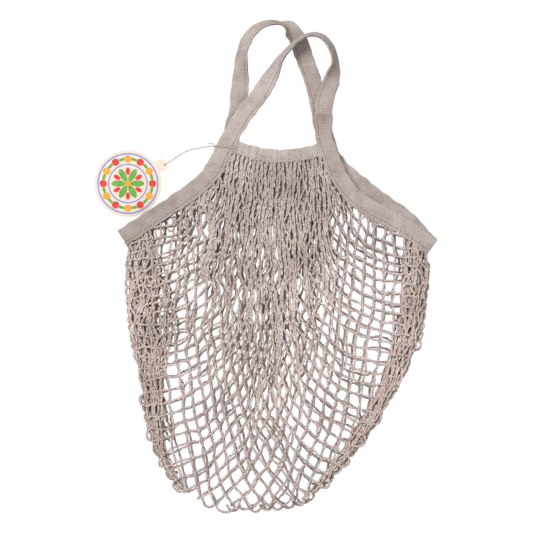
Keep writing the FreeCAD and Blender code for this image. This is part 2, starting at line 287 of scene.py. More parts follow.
def curved(points, count):
    """Points resampled on a smooth curve through them, at even parameters."""
    points = np.asarray(points, float)
    padded = np.concatenate([2 * points[:1] - points[1:2], points, 2 * points[-1:] - points[-2:-1]])
    share = np.linspace(0, len(points) - 1, count)
    index = np.minimum(share.astype(int), len(points) - 2)
    t = (share - index).reshape((-1,) + (1,) * (points.ndim - 1))
    a, b, c, d = (padded[index + step] for step in range(4))
    return 0.5 * (2 * b + (c - a) * t + (2 * a - 5 * b + 4 * c - d) * t ** 2
                  + (3 * b - a - 3 * c + d) * t ** 3)


def evenly(points, step):
    """Smooth curve through points as a row of places a step apart, and how far along each one is."""
    fine = curved(points, 60 * len(points))
    run = run_along(fine[:, :2])
    count = max(3, int(round(run[-1] / step)) + 1)
    along = np.linspace(0, run[-1], count)
    return np.stack([np.interp(along, run, column) for column in fine.T], 1), along


def ripple(x, y, seed):
    """Smooth unevenness between about -1 and 1 that repeats exactly from run to run."""
    return noise.noise(Vector((x, y, seed * 7.31)))


def threads(name, paths, radius, made, body="bag"):
    """Thin round threads along paths, as one mesh."""
    curve = bpy.data.curves.new(name, "CURVE")
    curve.dimensions = "3D"
    curve.bevel_depth = radius * MM
    curve.bevel_resolution = 1
    curve.resolution_u = 1
    curve.use_fill_caps = True
    for path in paths:
        line = curve.splines.new("NURBS")
        line.points.add(len(path) - 1)
        points = np.concatenate([np.asarray(path) * MM, np.ones((len(path), 1))], 1)
        line.points.foreach_set("co", points.ravel())
        line.use_endpoint_u = True
        line.order_u = 3
        line.use_smooth = True
    drawn = bpy.data.objects.new(name + "_drawn", curve)
    bpy.context.scene.collection.objects.link(drawn)
    bpy.context.view_layer.update()
    mesh = bpy.data.meshes.new_from_object(drawn.evaluated_get(bpy.context.evaluated_depsgraph_get()))
    bpy.data.objects.remove(drawn)
    mesh.materials.clear()
    # Painted shade: the tone attribute runs from 0 where a thread faces down to 1 where it faces up, so a
    # material that reads it darkens thread flanks and undersides
    normals = np.zeros(3 * len(mesh.vertices))
    mesh.vertices.foreach_get("normal", normals)
    tone = mesh.attributes.new("tone", "FLOAT", "POINT")
    tone.data.foreach_set("value", 0.5 + 0.5 * normals[2::3])
    return show(name, mesh, [made], body)


def plied(paths):
    """Two plies turned round each other along each path."""
    made = []
    for index, path in enumerate(paths):
        along = np.gradient(path[:, :2], axis=0)
        along /= np.maximum(np.linalg.norm(along, axis=1, keepdims=True), TINY)
        turn = run_along(path[:, :2]) / TURN * 2 * math.pi + index
        offset = np.stack([-along[:, 1] * np.cos(turn), along[:, 0] * np.cos(turn), 0.6 * np.sin(turn)], 1)
        made += [path + offset * APART, path - offset * APART]
    return made


# Slack net: half cells across it and rows down it, the middle, half breadth and rise of its gathered mouth,
# the length of a wale, and how far its wales turn outwards at the mouth and at the hem and lean, in degrees
COLUMNS = 81
ROWS = 36
MOUTH_X, MOUTH_Y = -1, 107
MOUTH_HALF = 80
MOUTH_RISE = 30
# Share of the half breadth beyond which the mouth is stretched, and how strongly
STRETCH_FROM, STRETCH = 0.6, 25
WALE_LENGTH = 371
MOUTH_SPREAD = 15
HEM_SPREAD = 44
LEAN = 3.5
# Where down a wale it turns at the middle and at the sides, and over how much of its length
TURN_MIDDLE, TURN_SIDE = 0.75, 0.09
TURN_LENGTH_MIDDLE, TURN_LENGTH_SIDE = 0.72, 0.32
# How much shorter the rows of a wale are where it has turned
TURNED_SHORTER = 0.22
# Breadth below which half cells draw together into cords, breadth below which they crowd and slip along
# the rows, and the breadth over which that grows
CORD_WIDTH = 3.6
CROWDED, CROWD_EASE = 5.2, 2.4
# Unevenness of the slack net: broad sagging and close rucks, which its layers share, and each one's kinks;
# and how much more it rucks at the upper left
SAG = 3.4
RUCK = 2.4
KINK = 1.2
LEFT_SLACK = 1.3
# Middles and breadths of the bunches down the sides
LEFT_BUNCH = [(-138, 33, 16), (-137, 12, 25), (-136, -20, 28), (-134, -60, 27), (-129, -95, 23),
              (-125, -128, 19), (-123, -156, 14), (-116, -185, 9), (-105, -209, 5), (-97, -221, 3)]
RIGHT_BUNCH = [(137, 28, 15), (137, 6, 24), (136, -25, 25), (131, -60, 24), (125, -84, 22), (116, -107, 19),
               (106, -131, 15), (91, -154, 11), (75, -177, 9), (59, -198, 7), (44, -215, 5), (34, -227, 3)]

# Edge that the net is cut to: below the left tape, the band and the right tape, then round by sides and hem
UNDER_BAND = [(-44, 115), (-20, 110), (2, 107.5), (24, 109.5), (42, 114)]
ROUND = [(140, 8), (138, -25), (134, -58), (129, -82), (121, -104), (112, -128), (97, -153), (80, -177),
         (63, -198), (47, -216), (33, -230), (21, -236), (2, -240), (-23, -241), (-48, -241.5), (-65, -239),
         (-82, -232.5), (-97, -224), (-105, -211), (-122, -181), (-131, -153), (-134, -124), (-138, -94),
         (-142, -62), (-145, -20), (-145, 8)]
# Where up the bag the hem begins and its chains begin to close in loops, and the lowest place of those
HEM_TOP = -100
LOOPS_TOP = -105
LOWEST = -246.6

# Slack net gathered below the band, the rope of it beside the left bunch, and the rope of it that slides
# down from the band's left end: an edge, and middles with breadths
GATHERED = [(-44, 115), (-20, 110), (2, 107.5), (24, 109.5), (42, 114), (52, 92), (47, 60), (45, 10),
            (43, -52), (33, -60), (28, -12), (12, 22), (-12, 32), (-32, 42), (-48, 58), (-60, 84)]
SLACK_ROPE = [(-131, 26, 6), (-124, 8, 12), (-116, -14, 15), (-112, -42, 17), (-113, -70, 15),
              (-117, -98, 12), (-119, -126, 9), (-115, -150, 8), (-108, -174, 6)]
LEFT_ROPE = [(-57, 99, 5), (-66, 85, 7), (-73, 67, 7), (-69, 50, 7), (-65, 32, 6), (-69, 10, 5),
             (-76, -12, 4)]


def wale(across):
    """Places down one wale of the slack net, which turns outwards sooner and further nearer to a side."""
    side, hand = abs(across), math.copysign(1, across)
    mouth_end = STRETCH * hand * max(0, side - STRETCH_FROM)
    spot = np.array([MOUTH_X + MOUTH_HALF * across + mouth_end, MOUTH_Y + MOUTH_RISE * side ** 2])
    start = hand * MOUTH_SPREAD * side - LEAN
    end = hand * HEM_SPREAD * min(1, side / 0.6) ** 0.75 - LEAN / 2
    turn_at = TURN_MIDDLE + (TURN_SIDE - TURN_MIDDLE) * side
    turn_length = TURN_LENGTH_MIDDLE + (TURN_LENGTH_SIDE - TURN_LENGTH_MIDDLE) * side
    shorter = TURNED_SHORTER * clamped((side - 0.1) / 0.4)
    places = []
    for row in range(ROWS):
        places.append(spot)
        turned = clamped((row / (ROWS - 1) - turn_at) / turn_length + 0.5)
        turned = turned ** 2 * (3 - 2 * turned)
        heading = math.radians(start + (end - start) * turned)
        step = WALE_LENGTH / (ROWS - 1) * (1 - shorter * turned)
        spot = spot + step * np.array([math.sin(heading), -math.cos(heading)])
    return np.array(places)


def loosened(x, y, seed, slack, own):
    """How far hand-pulled knitting lies from its even place, across and down."""
    moves = []
    for axis, (broad, wide, tall, apart, close) in enumerate(((36, 13, 17, 48, 7), (32, 14, 14, 44, 6))):
        moves.append(SAG * ripple(x / broad, y / broad, 101 + 2 * axis)
                     + RUCK * slack * ripple(x / wide, y / tall, 102 + 2 * axis)
                     + own * ripple(x / apart, y / apart, seed + 2 * axis)
                     + KINK * ripple(x / 6, y / close, seed + 11 + axis))
    return np.array(moves)


def layer_grid(seed, shift, own):
    """Node places of one layer, in columns of half cells by rows.

    The layers cling together, so they share most of their unevenness, and each has a little of its own."""
    grid = np.stack([wale(2 * k / (COLUMNS - 1) - 1) for k in range(COLUMNS)]) + np.array(shift)
    step = np.gradient(grid, axis=0)
    width = np.linalg.norm(step, axis=2)
    moved = grid.copy()
    for k in range(COLUMNS):
        for j in range(ROWS):
            x, y = grid[k, j]
            ease = min(1, j / 3)
            crowd = clamped((CROWDED - width[k, j]) / CROWD_EASE)
            slack = 1 + LEFT_SLACK * clamped((-x - 45) / 30) * clamped((y + 120) / 60)
            moved[k, j] += ease * (0.45 + 1.1 * crowd) * step[k, j] * ripple(k * 0.43, j * 0.19, seed + 8)
            moved[k, j] += ease * loosened(x, y, seed, slack, own)
    return moved


def crinkled(spot, after, high, seed, turn):
    """Two places of thread between a chain's nodes, one to each side, as thread crinkles."""
    chain, row = turn
    way = after - spot
    aside = np.array([-way[1], way[0]]) / max(np.linalg.norm(way), TINY)
    crinkle = CRINKLE * ripple(chain * 1.9, row * 0.8, seed + 15)
    sway = SWAY * np.array([ripple(chain * 3.1, row * 2.3, seed + 6),
                            ripple(chain * 2.7, row * 3.3, seed + 7)])
    return [(*(spot + way * share + aside * swing + sway), high)
            for share, swing in ((0.36, crinkle), (0.66, -crinkle))]


def chains(grid, level, seed):
    """Zigzag chains between neighbouring columns of nodes, drawn together into cords where they crowd."""
    columns, rows = grid.shape[:2]
    across = np.gradient(grid, axis=0)
    width = np.linalg.norm(across, axis=2, keepdims=True)
    across = across / np.maximum(width, TINY)
    down = np.gradient(grid, axis=1)
    down = down / np.maximum(np.linalg.norm(down, axis=2, keepdims=True), TINY)
    paths = []
    for chain in range(columns - 1):
        odd = chain % 2
        cord = chain + 1 - odd
        spots = []
        for row in range(rows):
            column = chain + (chain + row) % 2
            crowd = CORD_HOLD * clamped((CORD_WIDTH - width[column, row, 0]) / CORD_EASE)
            node = grid[column, row] + across[column, row] * (NODE_GAP if column == chain else -NODE_GAP)
            held = grid[cord, row] + across[cord, row] * (CORD_GAP if odd else -CORD_GAP)
            spots.append((1 - crowd) * node + crowd * held)
        path = []
        for row, spot in enumerate(spots):
            column = chain + (chain + row) % 2
            high = level + 0.5 * ripple(chain * 1.7, row * 0.6, seed + 5) + (ABOVE if odd else -ABOVE)
            reach = down[column, row] * STITCH_REACH
            path += [(*(spot - reach), high), (*(spot + reach), high)]
            if row < rows - 1:
                path += crinkled(spot, spots[row + 1], high, seed, (chain, row))
        paths.append(np.array(path))
    return paths


def within(x, y, edge):
    """Whether a place is inside a closed edge."""
    inside = False
    for (x0, y0), (x1, y1) in zip(edge, edge[1:] + edge[:1]):
        if (y0 > y) != (y1 > y) and x < (x1 - x0) * (y - y0) / (y1 - y0) + x0:
            inside = not inside
    return inside


def crossing(near, far, edge):
    """Last place inside an edge on the way from a place inside to one outside."""
    for _ in range(8):
        middle = (near + far) / 2
        if within(middle[0], middle[1], edge):
            near = middle
        else:
            far = middle
    return near


def cut(paths, edge):
    """Parts of the paths inside an edge, and where and which way they run out of it."""
    kept, ends = [], []
    for path in paths:
        run = []
        for here, after in zip(path, path[1:]):
            now, then = within(here[0], here[1], edge), within(after[0], after[1], edge)
            if now:
                run.append(here)
            if now == then:
                continue
            run.append(crossing(here, after, edge) if now else crossing(after, here, edge))
            if now:
                if len(run) > 3:
                    kept.append(np.array(run))
                    ends.append((run[-1], unit((after - here)[:2])))
                run = []
    return kept, ends


def nearest(place, line, run):
    """How far along a line the place nearest to it lies, and the line's direction there."""
    best = None
    for index in range(len(line) - 1):
        part = line[index + 1] - line[index]
        share = clamped(np.dot(place - line[index], part) / np.dot(part, part))
        off = np.linalg.norm(line[index] + part * share - place)
        if best is None or off < best[0]:
            best = (off, run[index] + share * np.linalg.norm(part), unit(part))
    return best[1], best[2]


# Round of a hem loop: share of its breadth, and share of its depth
HEM_LOOP = [(0.0, 0.0), (0.1, 0.62), (0.32, 0.98), (0.5, 1.04), (0.68, 0.98), (0.9, 0.62), (1.0, 0.0)]
# How near and how far apart the chains are that a loop joins, its depth at no breadth, at most and for each
# millimetre of breadth, and how far its ends run back along the chains
JOIN_NEAR, JOIN_FAR = 3, 19
LOOP_DEPTH, LOOP_DEEPEST, LOOP_GROWTH = 2.2, 5.2, 0.28
LOOP_LAP = 1.5


def closing_loops(ends, seed):
    """Scalloped loops of one layer's hem, each from a chain that runs out to the next one that comes in."""
    line = np.array([place for place in ROUND if place[1] < HEM_TOP][::-1], float)
    run = run_along(line)
    found = []
    for place, way in ends:
        if place[1] <= LOOPS_TOP:
            along, tangent = nearest(place[:2], line, run)
            found.append((along, np.dot(way, tangent) > 0, place, way, tangent))
    found.sort(key=lambda item: item[0])
    paths, taken = [], set()
    for index, (start, onwards, place, way, tangent) in enumerate(found):
        if not onwards:
            continue
        for other in range(index + 1, len(found)):
            end, ahead, far, back, _ = found[other]
            if other in taken or ahead:
                continue
            if not JOIN_NEAR <= end - start <= JOIN_FAR:
                break
            taken.add(other)
            outwards = np.array([tangent[1], -tangent[0]])
            depth = min(LOOP_DEEPEST, LOOP_DEPTH + LOOP_GROWTH * (end - start))
            depth += 0.8 * ripple(index, 0.5, seed)
            path = [(*(place[:2] - way * LOOP_LAP), place[2])]
            for share, out in HEM_LOOP:
                x, y = place[:2] * (1 - share) + far[:2] * share + outwards * depth * out
                path.append((x, max(y, LOWEST), place[2] * (1 - share) + far[2] * share))
            path.append((*(far[:2] - back * LOOP_LAP), far[2]))
            paths.append(np.array(path))
            break
    return paths


# Round of a slack loop on a side: share of its breadth, and share of its bulge, or inwards below 0
SCALLOP = [(-0.12, -1.0), (0.02, 0.1), (0.16, 0.75), (0.38, 1.0), (0.62, 1.0), (0.84, 0.75), (0.98, 0.1),
           (1.12, -1.0)]


def scallops(line, pitch, depth, level, seed):
    """Slack loops of the outermost chain along a side."""
    places, _ = evenly(line, pitch)
    paths = []
    for index, (start, end) in enumerate(zip(places, places[1:])):
        part = end[:2] - start[:2]
        outwards = np.array([part[1], -part[0]]) / np.linalg.norm(part)
        bulge = depth * (1 + 0.45 * ripple(index * 1.3, 0.5, seed))
        inwards = 2.0 + 1.0 * ripple(index * 1.7, 2.5, seed)
        path = []
        for share, out in SCALLOP:
            spot = start[:2] + part * share + outwards * (bulge if out > 0 else inwards) * out
            path.append((*spot, level + 1.2 * math.sin(3 * index + share * 4)))
        paths.append(np.array(path))
    return paths


def bunched(line, columns, pitch, seed):
    """Node places of a bunched strip of net down a side, from places and breadths along its middle."""
    middle, _ = evenly(line, pitch)
    side = np.gradient(middle[:, :2], axis=0)
    side /= np.linalg.norm(side, axis=1, keepdims=True)
    side = np.stack([-side[:, 1], side[:, 0]], 1)
    grid = np.zeros((columns, len(middle), 2))
    for k in range(columns):
        for j, (x, y, breadth) in enumerate(middle):
            share = k / (columns - 1) - 0.5 + 0.24 * ripple(j * 0.42, k * 0.5, seed)
            share = max(-0.5, min(0.5, share + 0.07 * ripple(j * 0.9, k * 1.3, seed + 1)))
            fall = 2.4 * ripple(k * 0.8, j * 0.7, seed + 2)
            grid[k, j] = (x + side[j, 0] * breadth * share, y + side[j, 1] * breadth * share + fall)
    return grid


def small_loops(places, level):
    """Slack loops that hang from a tape's edge: x, y, drop, breadth and lean."""
    paths = []
    for x, y, drop, breadth, lean in places:
        path = []
        for turn in range(9):
            angle = math.pi * (turn / 8 * 1.5 - 0.25)
            wide, low = math.cos(angle), math.sin(angle)
            path.append((x + breadth / 2 * wide + lean * low, y - drop * low, level + 0.3 * wide))
        paths.append(np.array(path))
    return plied(paths)


# Cross-section of a folded tape, from its stitched edge over the upper leaf to the fold, and back below:
# share of the half width, and share of the half height. The first UPPER points are on the upper leaf
SECTION = [(-1.0, 0.6), (-0.985, 0.92), (-0.94, 1.0), (-0.69, 1.0), (-0.62, 0.8), (-0.55, 1.0),
           (-0.4, 1.03), (-0.2, 1.05), (0.15, 1.05), (0.5, 1.02), (0.78, 0.95), (0.92, 0.76), (0.98, 0.42),
           (1.0, 0.0), (0.98, -0.42), (0.92, -0.76), (0.78, -0.95), (0.3, -1.0), (-0.4, -1.0),
           (-0.94, -1.0), (-1.0, -0.6), (-1.0, -0.46), (0.8, -0.46), (0.84, 0.0), (0.8, 0.46), (-1.0, 0.46)]
UPPER = 13
# Place of the seam across a tape, and how much of the tape's height its stitches lie at
SEAM_ROW = -0.62
STITCH_HEIGHT = 0.86


def tape_frames(stations, step):
    """Places along a tape with the directions across and through it: x, y, middle height, roll, height."""
    line, along = evenly(stations, step)
    middle = line[:, :3]
    run = np.gradient(middle, axis=0)
    run /= np.linalg.norm(run, axis=1, keepdims=True)
    side = np.stack([-run[:, 1], run[:, 0], np.zeros(len(run))], 1)
    side /= np.linalg.norm(side, axis=1, keepdims=True)
    up = np.cross(run, side)
    turn = np.radians(line[:, 3:4])
    across = side * np.cos(turn) + up * np.sin(turn)
    return middle, across, np.cross(run, across), run, line[:, 4], along


def no_pleats(along, across):
    """A tape without pleats."""
    return 0.0


def edge_waver(wide, distance, seed):
    """How far a tape's edges and lines waver to the side."""
    return (0.5 * ripple(distance / 17, seed, 3) + 1.3 * wide * ripple(distance / 9, seed, 6)
            + 0.18 * ripple(distance / 3.5, seed + wide, 5))


def stitch(bm, spot, ahead, aside, over):
    """One sunken stitch of a seam."""
    made = bmesh.ops.create_uvsphere(bm, u_segments=6, v_segments=4, radius=1.0)
    for vert in made["verts"]:
        local = (ahead * vert.co.x * STITCH_LENGTH + aside * vert.co.y * STITCH_BREADTH
                 + over * vert.co.z * STITCH_BREADTH)
        vert.co = Vector(spot + local) * MM
    for face in {f for v in made["verts"] for f in v.link_faces}:
        face.material_index = 1
        face.smooth = True


def tape(name, stations, width, seed, pleats=no_pleats, rows=(SEAM_ROW,), ends=(), tones=(0.9, 0.9)):
    """Folded tape along its stations, with creases and stitched seams; tones are painted shade, how light
    each stretch is painted from start to end.
    """
    middle, across, through, run, height, along = tape_frames(stations, TAPE_STEP)
    bm = bmesh.new()
    weave = bm.loops.layers.uv.new("weave")
    tone = bm.verts.layers.float.new("tone")
    place_on = {}
    rings = []
    for index, distance in enumerate(along):
        ring = []
        for number, (wide, high) in enumerate(SECTION):
            a = wide * width / 2
            h = high * height[index] / 2
            if 0 < number < UPPER:
                h += SOFTNESS * ripple(distance / 15, a / 9, seed) + pleats(distance, a)
            a += edge_waver(wide, distance, seed)
            vert = bm.verts.new(Vector(middle[index] + across[index] * a + through[index] * h) * MM)
            # Painted shade along the tape, spread from its tones
            vert[tone] = np.interp(index / len(middle), np.linspace(0, 1, len(tones)), tones)
            place_on[vert] = (a * MM, distance * MM)
            ring.append(vert)
        rings.append(ring)
    faces = []
    for near, far in zip(rings, rings[1:]):
        for k in range(len(SECTION)):
            after = (k + 1) % len(SECTION)
            faces.append(bm.faces.new((near[k], near[after], far[after], far[k])))
    faces.append(bm.faces.new(rings[0][::-1]))
    faces.append(bm.faces.new(rings[-1]))
    for face in faces:
        face.smooth = True
        for loop in face.loops:
            loop[weave].uv = place_on[loop.vert]
    spots = [(wide, share) for wide in rows for share in np.arange(1.5, along[-1] - 1, STITCH_PITCH)]
    for share, in_from, out_to in ends:
        spots += [(wide, share) for wide in np.arange(in_from, out_to, 0.3)]
    for wide, share in spots:
        at, over, aside, ahead = (np.array([np.interp(share, along, column) for column in table.T])
                                  for table in (middle, through, across, run))
        lift = np.interp(share, along, height) / 2 * STITCH_HEIGHT
        lift += SOFTNESS * ripple(share / 15, wide * width / 18, seed) + pleats(share, wide * width / 2)
        stitch(bm, at + aside * wide * width / 2 + over * lift, ahead, aside, over)
    bmesh.ops.recalc_face_normals(bm, faces=bm.faces)
    mesh = bpy.data.meshes.new(name)
    bm.to_mesh(mesh)
    bm.free()
    return show(name, mesh, [TAPE, SEAM])


def lying(route, middle, height=TAPE_HEIGHT):
    """Stations of a tape that lies flat."""
    return [(x, y, middle, 0, height) for x, y in route]


def standing(route):
    """Stations of a handle, from the height of its lowest edge and its roll."""
    made = []
    for x, y, lift, roll in route:
        turn = math.radians(roll)
        rise = TAPE_WIDTH / 2 * abs(math.sin(turn)) + HANDLE_THICKNESS / 2 * math.cos(turn)
        made.append((x, y, lift + rise, roll, HANDLE_THICKNESS))
    return made


LEFT_ROUTE = [(-155.5, 28), (-134, 42), (-110, 58), (-84, 76), (-67, 92), (-56, 112)]
FRONT_RIGHT_ROUTE = [(46.5, 128), (54, 106), (63.5, 85), (77.5, 68.5), (97, 55), (125.5, 39.5), (154, 19)]
BACK_RIGHT_ROUTE = [(46, 128), (54, 111), (64, 97), (78.5, 85), (98, 69), (128, 47.5), (153.5, 21)]
BAND_ROUTE = [(-44.5, 119), (-20, 112), (2, 109.5), (24, 111.5), (41, 115.8)]
# Handles: x, y, height of the lowest edge and roll
FRONT_HANDLE = [(-34.5, 151, 8.6, 0), (-19, 171, 5.0, -6), (-6, 192, 2.0, -36), (4, 209, 3.2, -66),
                (20, 225.5, 4.2, -74), (33.5, 231.5, 2.4, -70), (45.5, 228.5, 1.4, -66),
                (54, 217.5, 0.6, -66), (57.5, 203, 0.6, -62), (53.5, 185, 2.4, -22), (47.5, 168, 3.8, 0),
                (45.5, 152, 8.2, 0), (45.6, 146, 8.4, 0)]
BACK_HANDLE = [(-40.5, 156, 0, 0), (-38.5, 176, 0, -3), (-37.2, 196, 0, -36), (-36.0, 214, 0, -50),
               (-30.5, 228.5, 0, -50), (-20.5, 239, 0, -57), (-8, 243.6, 0, -66), (5, 242.3, 0, -68),
               (13.5, 236.5, 0, -22), (20.5, 226.5, 0, 0), (28, 206, 0, 0), (36, 184, 0, 0),
               (42, 158, 0, 0)]


def end_pleats(along, across):
    """Pleats of the right tape where it's pulled towards its corner."""
    fade = clamped((along - 118) / 18) * clamped((182 - along) / 14)
    return 0.65 * fade * math.sin((along + 0.5 * across) / 4.6 * 2 * math.pi)


def band_gathers(along, across):
    """Small gathers of the bands."""
    return 1.6 * ripple(along / 3.4, across / 40, 91) + 0.5 * ripple(along / 1.6, across / 30, 92)


def handle_tapes():
    """Bindings that run on into the handles, the front ones over the back ones."""
    foot = [(-47.7, 128, FRONT_MIDDLE, 0, 2.2)]
    # Tones are painted shade along each tape, darkest over the left bindings
    front = tape("front_tape", lying(LEFT_ROUTE, FRONT_MIDDLE) + foot + standing(FRONT_HANDLE), TAPE_WIDTH,
                 11, ends=[(2.5, -0.8, 0.9)], tones=(0.6, 0.55, 0.65, 0.95, 1.0, 0.9, 1.0, 1.0, 1.0, 0.75))
    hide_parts("front_left_binding", "front_handle")
    top = [(45.5, 151.5, 10.0, 0, 1.1), (45.6, 146, 11.3, 0, 1.8), (45.9, 138, 12.3, 0, 2.6)]
    right = tape("front_right_tape", top + lying(FRONT_RIGHT_ROUTE, FRONT_MIDDLE), TAPE_WIDTH, 23,
                 end_pleats, ends=[(2.5, -0.8, 0.9), (5.5, -0.8, 0.9)],
                 tones=(0.6, 0.8, 0.85, 0.95, 0.95, 0.9))
    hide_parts("front_right_binding", "front_handle_lap")
    left_foot, right_foot = [(-47.7, 128, BACK_MIDDLE, 0, 2.4)], [(46.3, 134, BACK_MIDDLE, 0, 2.4)]
    back = tape("back_tape", lying(LEFT_ROUTE, BACK_MIDDLE) + left_foot + standing(BACK_HANDLE) + right_foot
                + lying(BACK_RIGHT_ROUTE, BACK_MIDDLE)[1:], TAPE_WIDTH, 37,
                tones=(0.6, 0.6, 0.6, 0.7, 0.9, 0.9, 0.9, 0.85, 0.8, 0.9, 1.0, 1.0, 1.0))
    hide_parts("back_left_binding", "back_handle", "back_right_binding")
    for piece, loop in ((front, "front_loop"), (right, "front_loop"), (back, "back_loop")):
        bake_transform(piece)


def bands():
    """Gathered bands between the handles' feet."""
    for name, level, seed in (("front_band", FRONT_MIDDLE - 0.1, 51), ("back_band", BACK_MIDDLE, 57)):
        piece = tape(name + "_gathers", lying(BAND_ROUTE, level, BAND_HEIGHT), BAND_WIDTH, seed,
                     band_gathers, rows=(-0.8,), tones=(1.0, 1.0))
        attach(piece, "bag")
        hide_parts(name)


def corner_tacks():
    """Ends where the front and back bindings are sewn together."""
    for name, route in (("left_corner_tack", [(-154.5, 28.6), (-149, 32.2), (-144, 35.5)]),
                        ("right_corner_tack", [(143.5, 26.5), (148.5, 23), (153, 19.7)])):
        piece = tape(name + "_sewn", lying(route, CORNER_MIDDLE, CORNER_HEIGHT), CORNER_WIDTH, 61, rows=())
        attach(piece, "bag")
        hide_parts(name)


def net_layers():
    """Both layers of the net; gives the loops that close their chains along the hem."""
    hem = []
    for layer, level, seed, shift, own, right in (
            ("front", FRONT_NET, 101, (0.0, 0.0), 0.0, FRONT_RIGHT_ROUTE),
            ("back", BACK_NET, 211, (1.0, -1.2), 5.5, BACK_RIGHT_ROUTE)):
        edge = LEFT_ROUTE + UNDER_BAND + right[1:] + ROUND
        paths, ends = cut(chains(layer_grid(seed, shift, own), level, seed), edge)
        half = len(paths) // 2
        for part, chosen in (("left", paths[:half]), ("right", paths[half:])):
            piece = threads(layer + "_net_" + part, plied(chosen), THREAD, COTTON)
            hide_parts(layer + "_net")
        hem += closing_loops(ends, seed + 9)
    return hem


def slack_folds():
    """Slack net below the band, and its ropes by the left bunch and from the band's left end."""
    paths, _ = cut(chains(layer_grid(307, (-1.7, 2.0), 3.0), GATHERED_LEVEL, 307), GATHERED)
    paths += chains(bunched(LEFT_ROPE, 4, 9.0, 21), LEFT_ROPE_LEVEL, 309)
    for level in SLACK_ROPE_LEVELS:
        for index, path in enumerate(chains(bunched(SLACK_ROPE, 5, 9.5, 25 + level), level, 311)):
            paths.append(path[:int(len(path) * (0.7 + 0.1 * ((index * 2 + int(level)) % 4)))])
    piece = threads("gathered_net", plied(paths), THREAD, COTTON)


# Rows of slack loops round the sides and hem: the line they hang from, pitch, depth, height and seed
SLACK_LOOPS = [
    ([(47, -216), (63, -198), (80, -177), (97, -153), (112, -128), (121, -104), (130, -80)],
     11.5, 3.6, 9.0, 71),
    ([(-137, -94), (-133, -124), (-130, -153), (-121, -181), (-104, -211), (-96, -223)],
     10.5, 2.8, 9.0, 72),
    ([(-131, -122), (-128, -150), (-119, -178), (-103, -207)], 12.5, 3.4, 4.5, 73),
    ([(44, -218), (60, -200), (78, -179), (95, -155), (109, -130), (118, -106), (128, -80)],
     13.5, 4.0, 4.5, 74),
    ([(-50, -241.5), (-23, -241.5), (2, -240), (21, -236), (36, -228)], 11.0, 3.6, 7.0, 75),
    ([(139, -84), (143.5, -60), (147, -28), (149, 4)], 9.5, 2.4, 8.0, 76),
    ([(-149, 6), (-150, -20), (-146.5, -64), (-141, -94)], 9.0, 2.2, 8.0, 77),
]


def hem_loops(closing):
    """Loops that close the hem, with the slack ones along it and up the sides."""
    paths = list(closing)
    for row in SLACK_LOOPS:
        paths += scallops(*row)
    piece = threads("hem_loops", plied(paths), THREAD, COTTON)
    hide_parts("bottom_loops")


def side_gathers():
    """Bunched net down both sides, from chains of uneven length at several heights."""
    for name, line, seed in (("left_side_gather", LEFT_BUNCH, 5), ("right_side_gather", RIGHT_BUNCH, 45)):
        paths = []
        for depth, level in enumerate(BUNCH_LEVELS):
            grid = bunched(line, 9, 10.5, seed + depth)
            for index, path in enumerate(chains(grid, level, seed + 10 * depth)):
                paths.append(path[:int(len(path) * (0.55 + 0.045 * ((index * 37 + depth * 5) % 11)))])
        piece = threads(name + "_strands", plied(paths), THREAD, COTTON)
        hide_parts(name)


def edge_loops():
    """Small slack loops below the tapes."""
    loops = [(-107, 41, 7, 8, 0), (-99, 46, 6, 7, 1), (-118, 34, 6, 9, -1), (-74, 68, 7, 7, 1),
             (-70, 62, 9, 6, 0), (-67, 55, 14, 5, 1), (84, 53, 6, 6, 0), (97, 44, 6, 6, -1),
             (110, 36, 5, 7, 0)]
    piece = threads("edge_loops", small_loops(loops, 12.0), SLACK_LOOP_THREAD, COTTON)


def tag_string():
    """Twine from the turn round the leg to the card's ear."""
    route = [(-64.0, 120.0, 12.5), (-70.5, 119.3, 10.9), (-77.5, 118.2, 8.0), (-84.5, 117.6, 5.4),
             (-92.0, 115.4, 3.5), (-99.5, 111.3, 2.4), (-106.5, 106.4, 1.85), (-112.4, 102.8, 1.75),
             (-116.2, 101.3, 1.3)]
    curve = bpy.data.curves.new("tag_twine", "CURVE")
    curve.dimensions = "3D"
    curve.bevel_depth = TWINE_RADIUS * MM
    curve.bevel_resolution = 3
    curve.resolution_u = 8
    curve.use_fill_caps = True
    line = curve.splines.new("NURBS")
    line.points.add(len(route) - 1)
    for point, (x, y, z) in zip(line.points, route):
        point.co = (x * MM, y * MM, z * MM, 1)
    line.order_u = 3
    line.use_endpoint_u = True
    curve.materials.append(TWINE)
    piece = bpy.data.objects.new("tag_twine", curve)
    bpy.context.scene.collection.objects.link(piece)
    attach(piece, "string")
    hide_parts("tag_string")


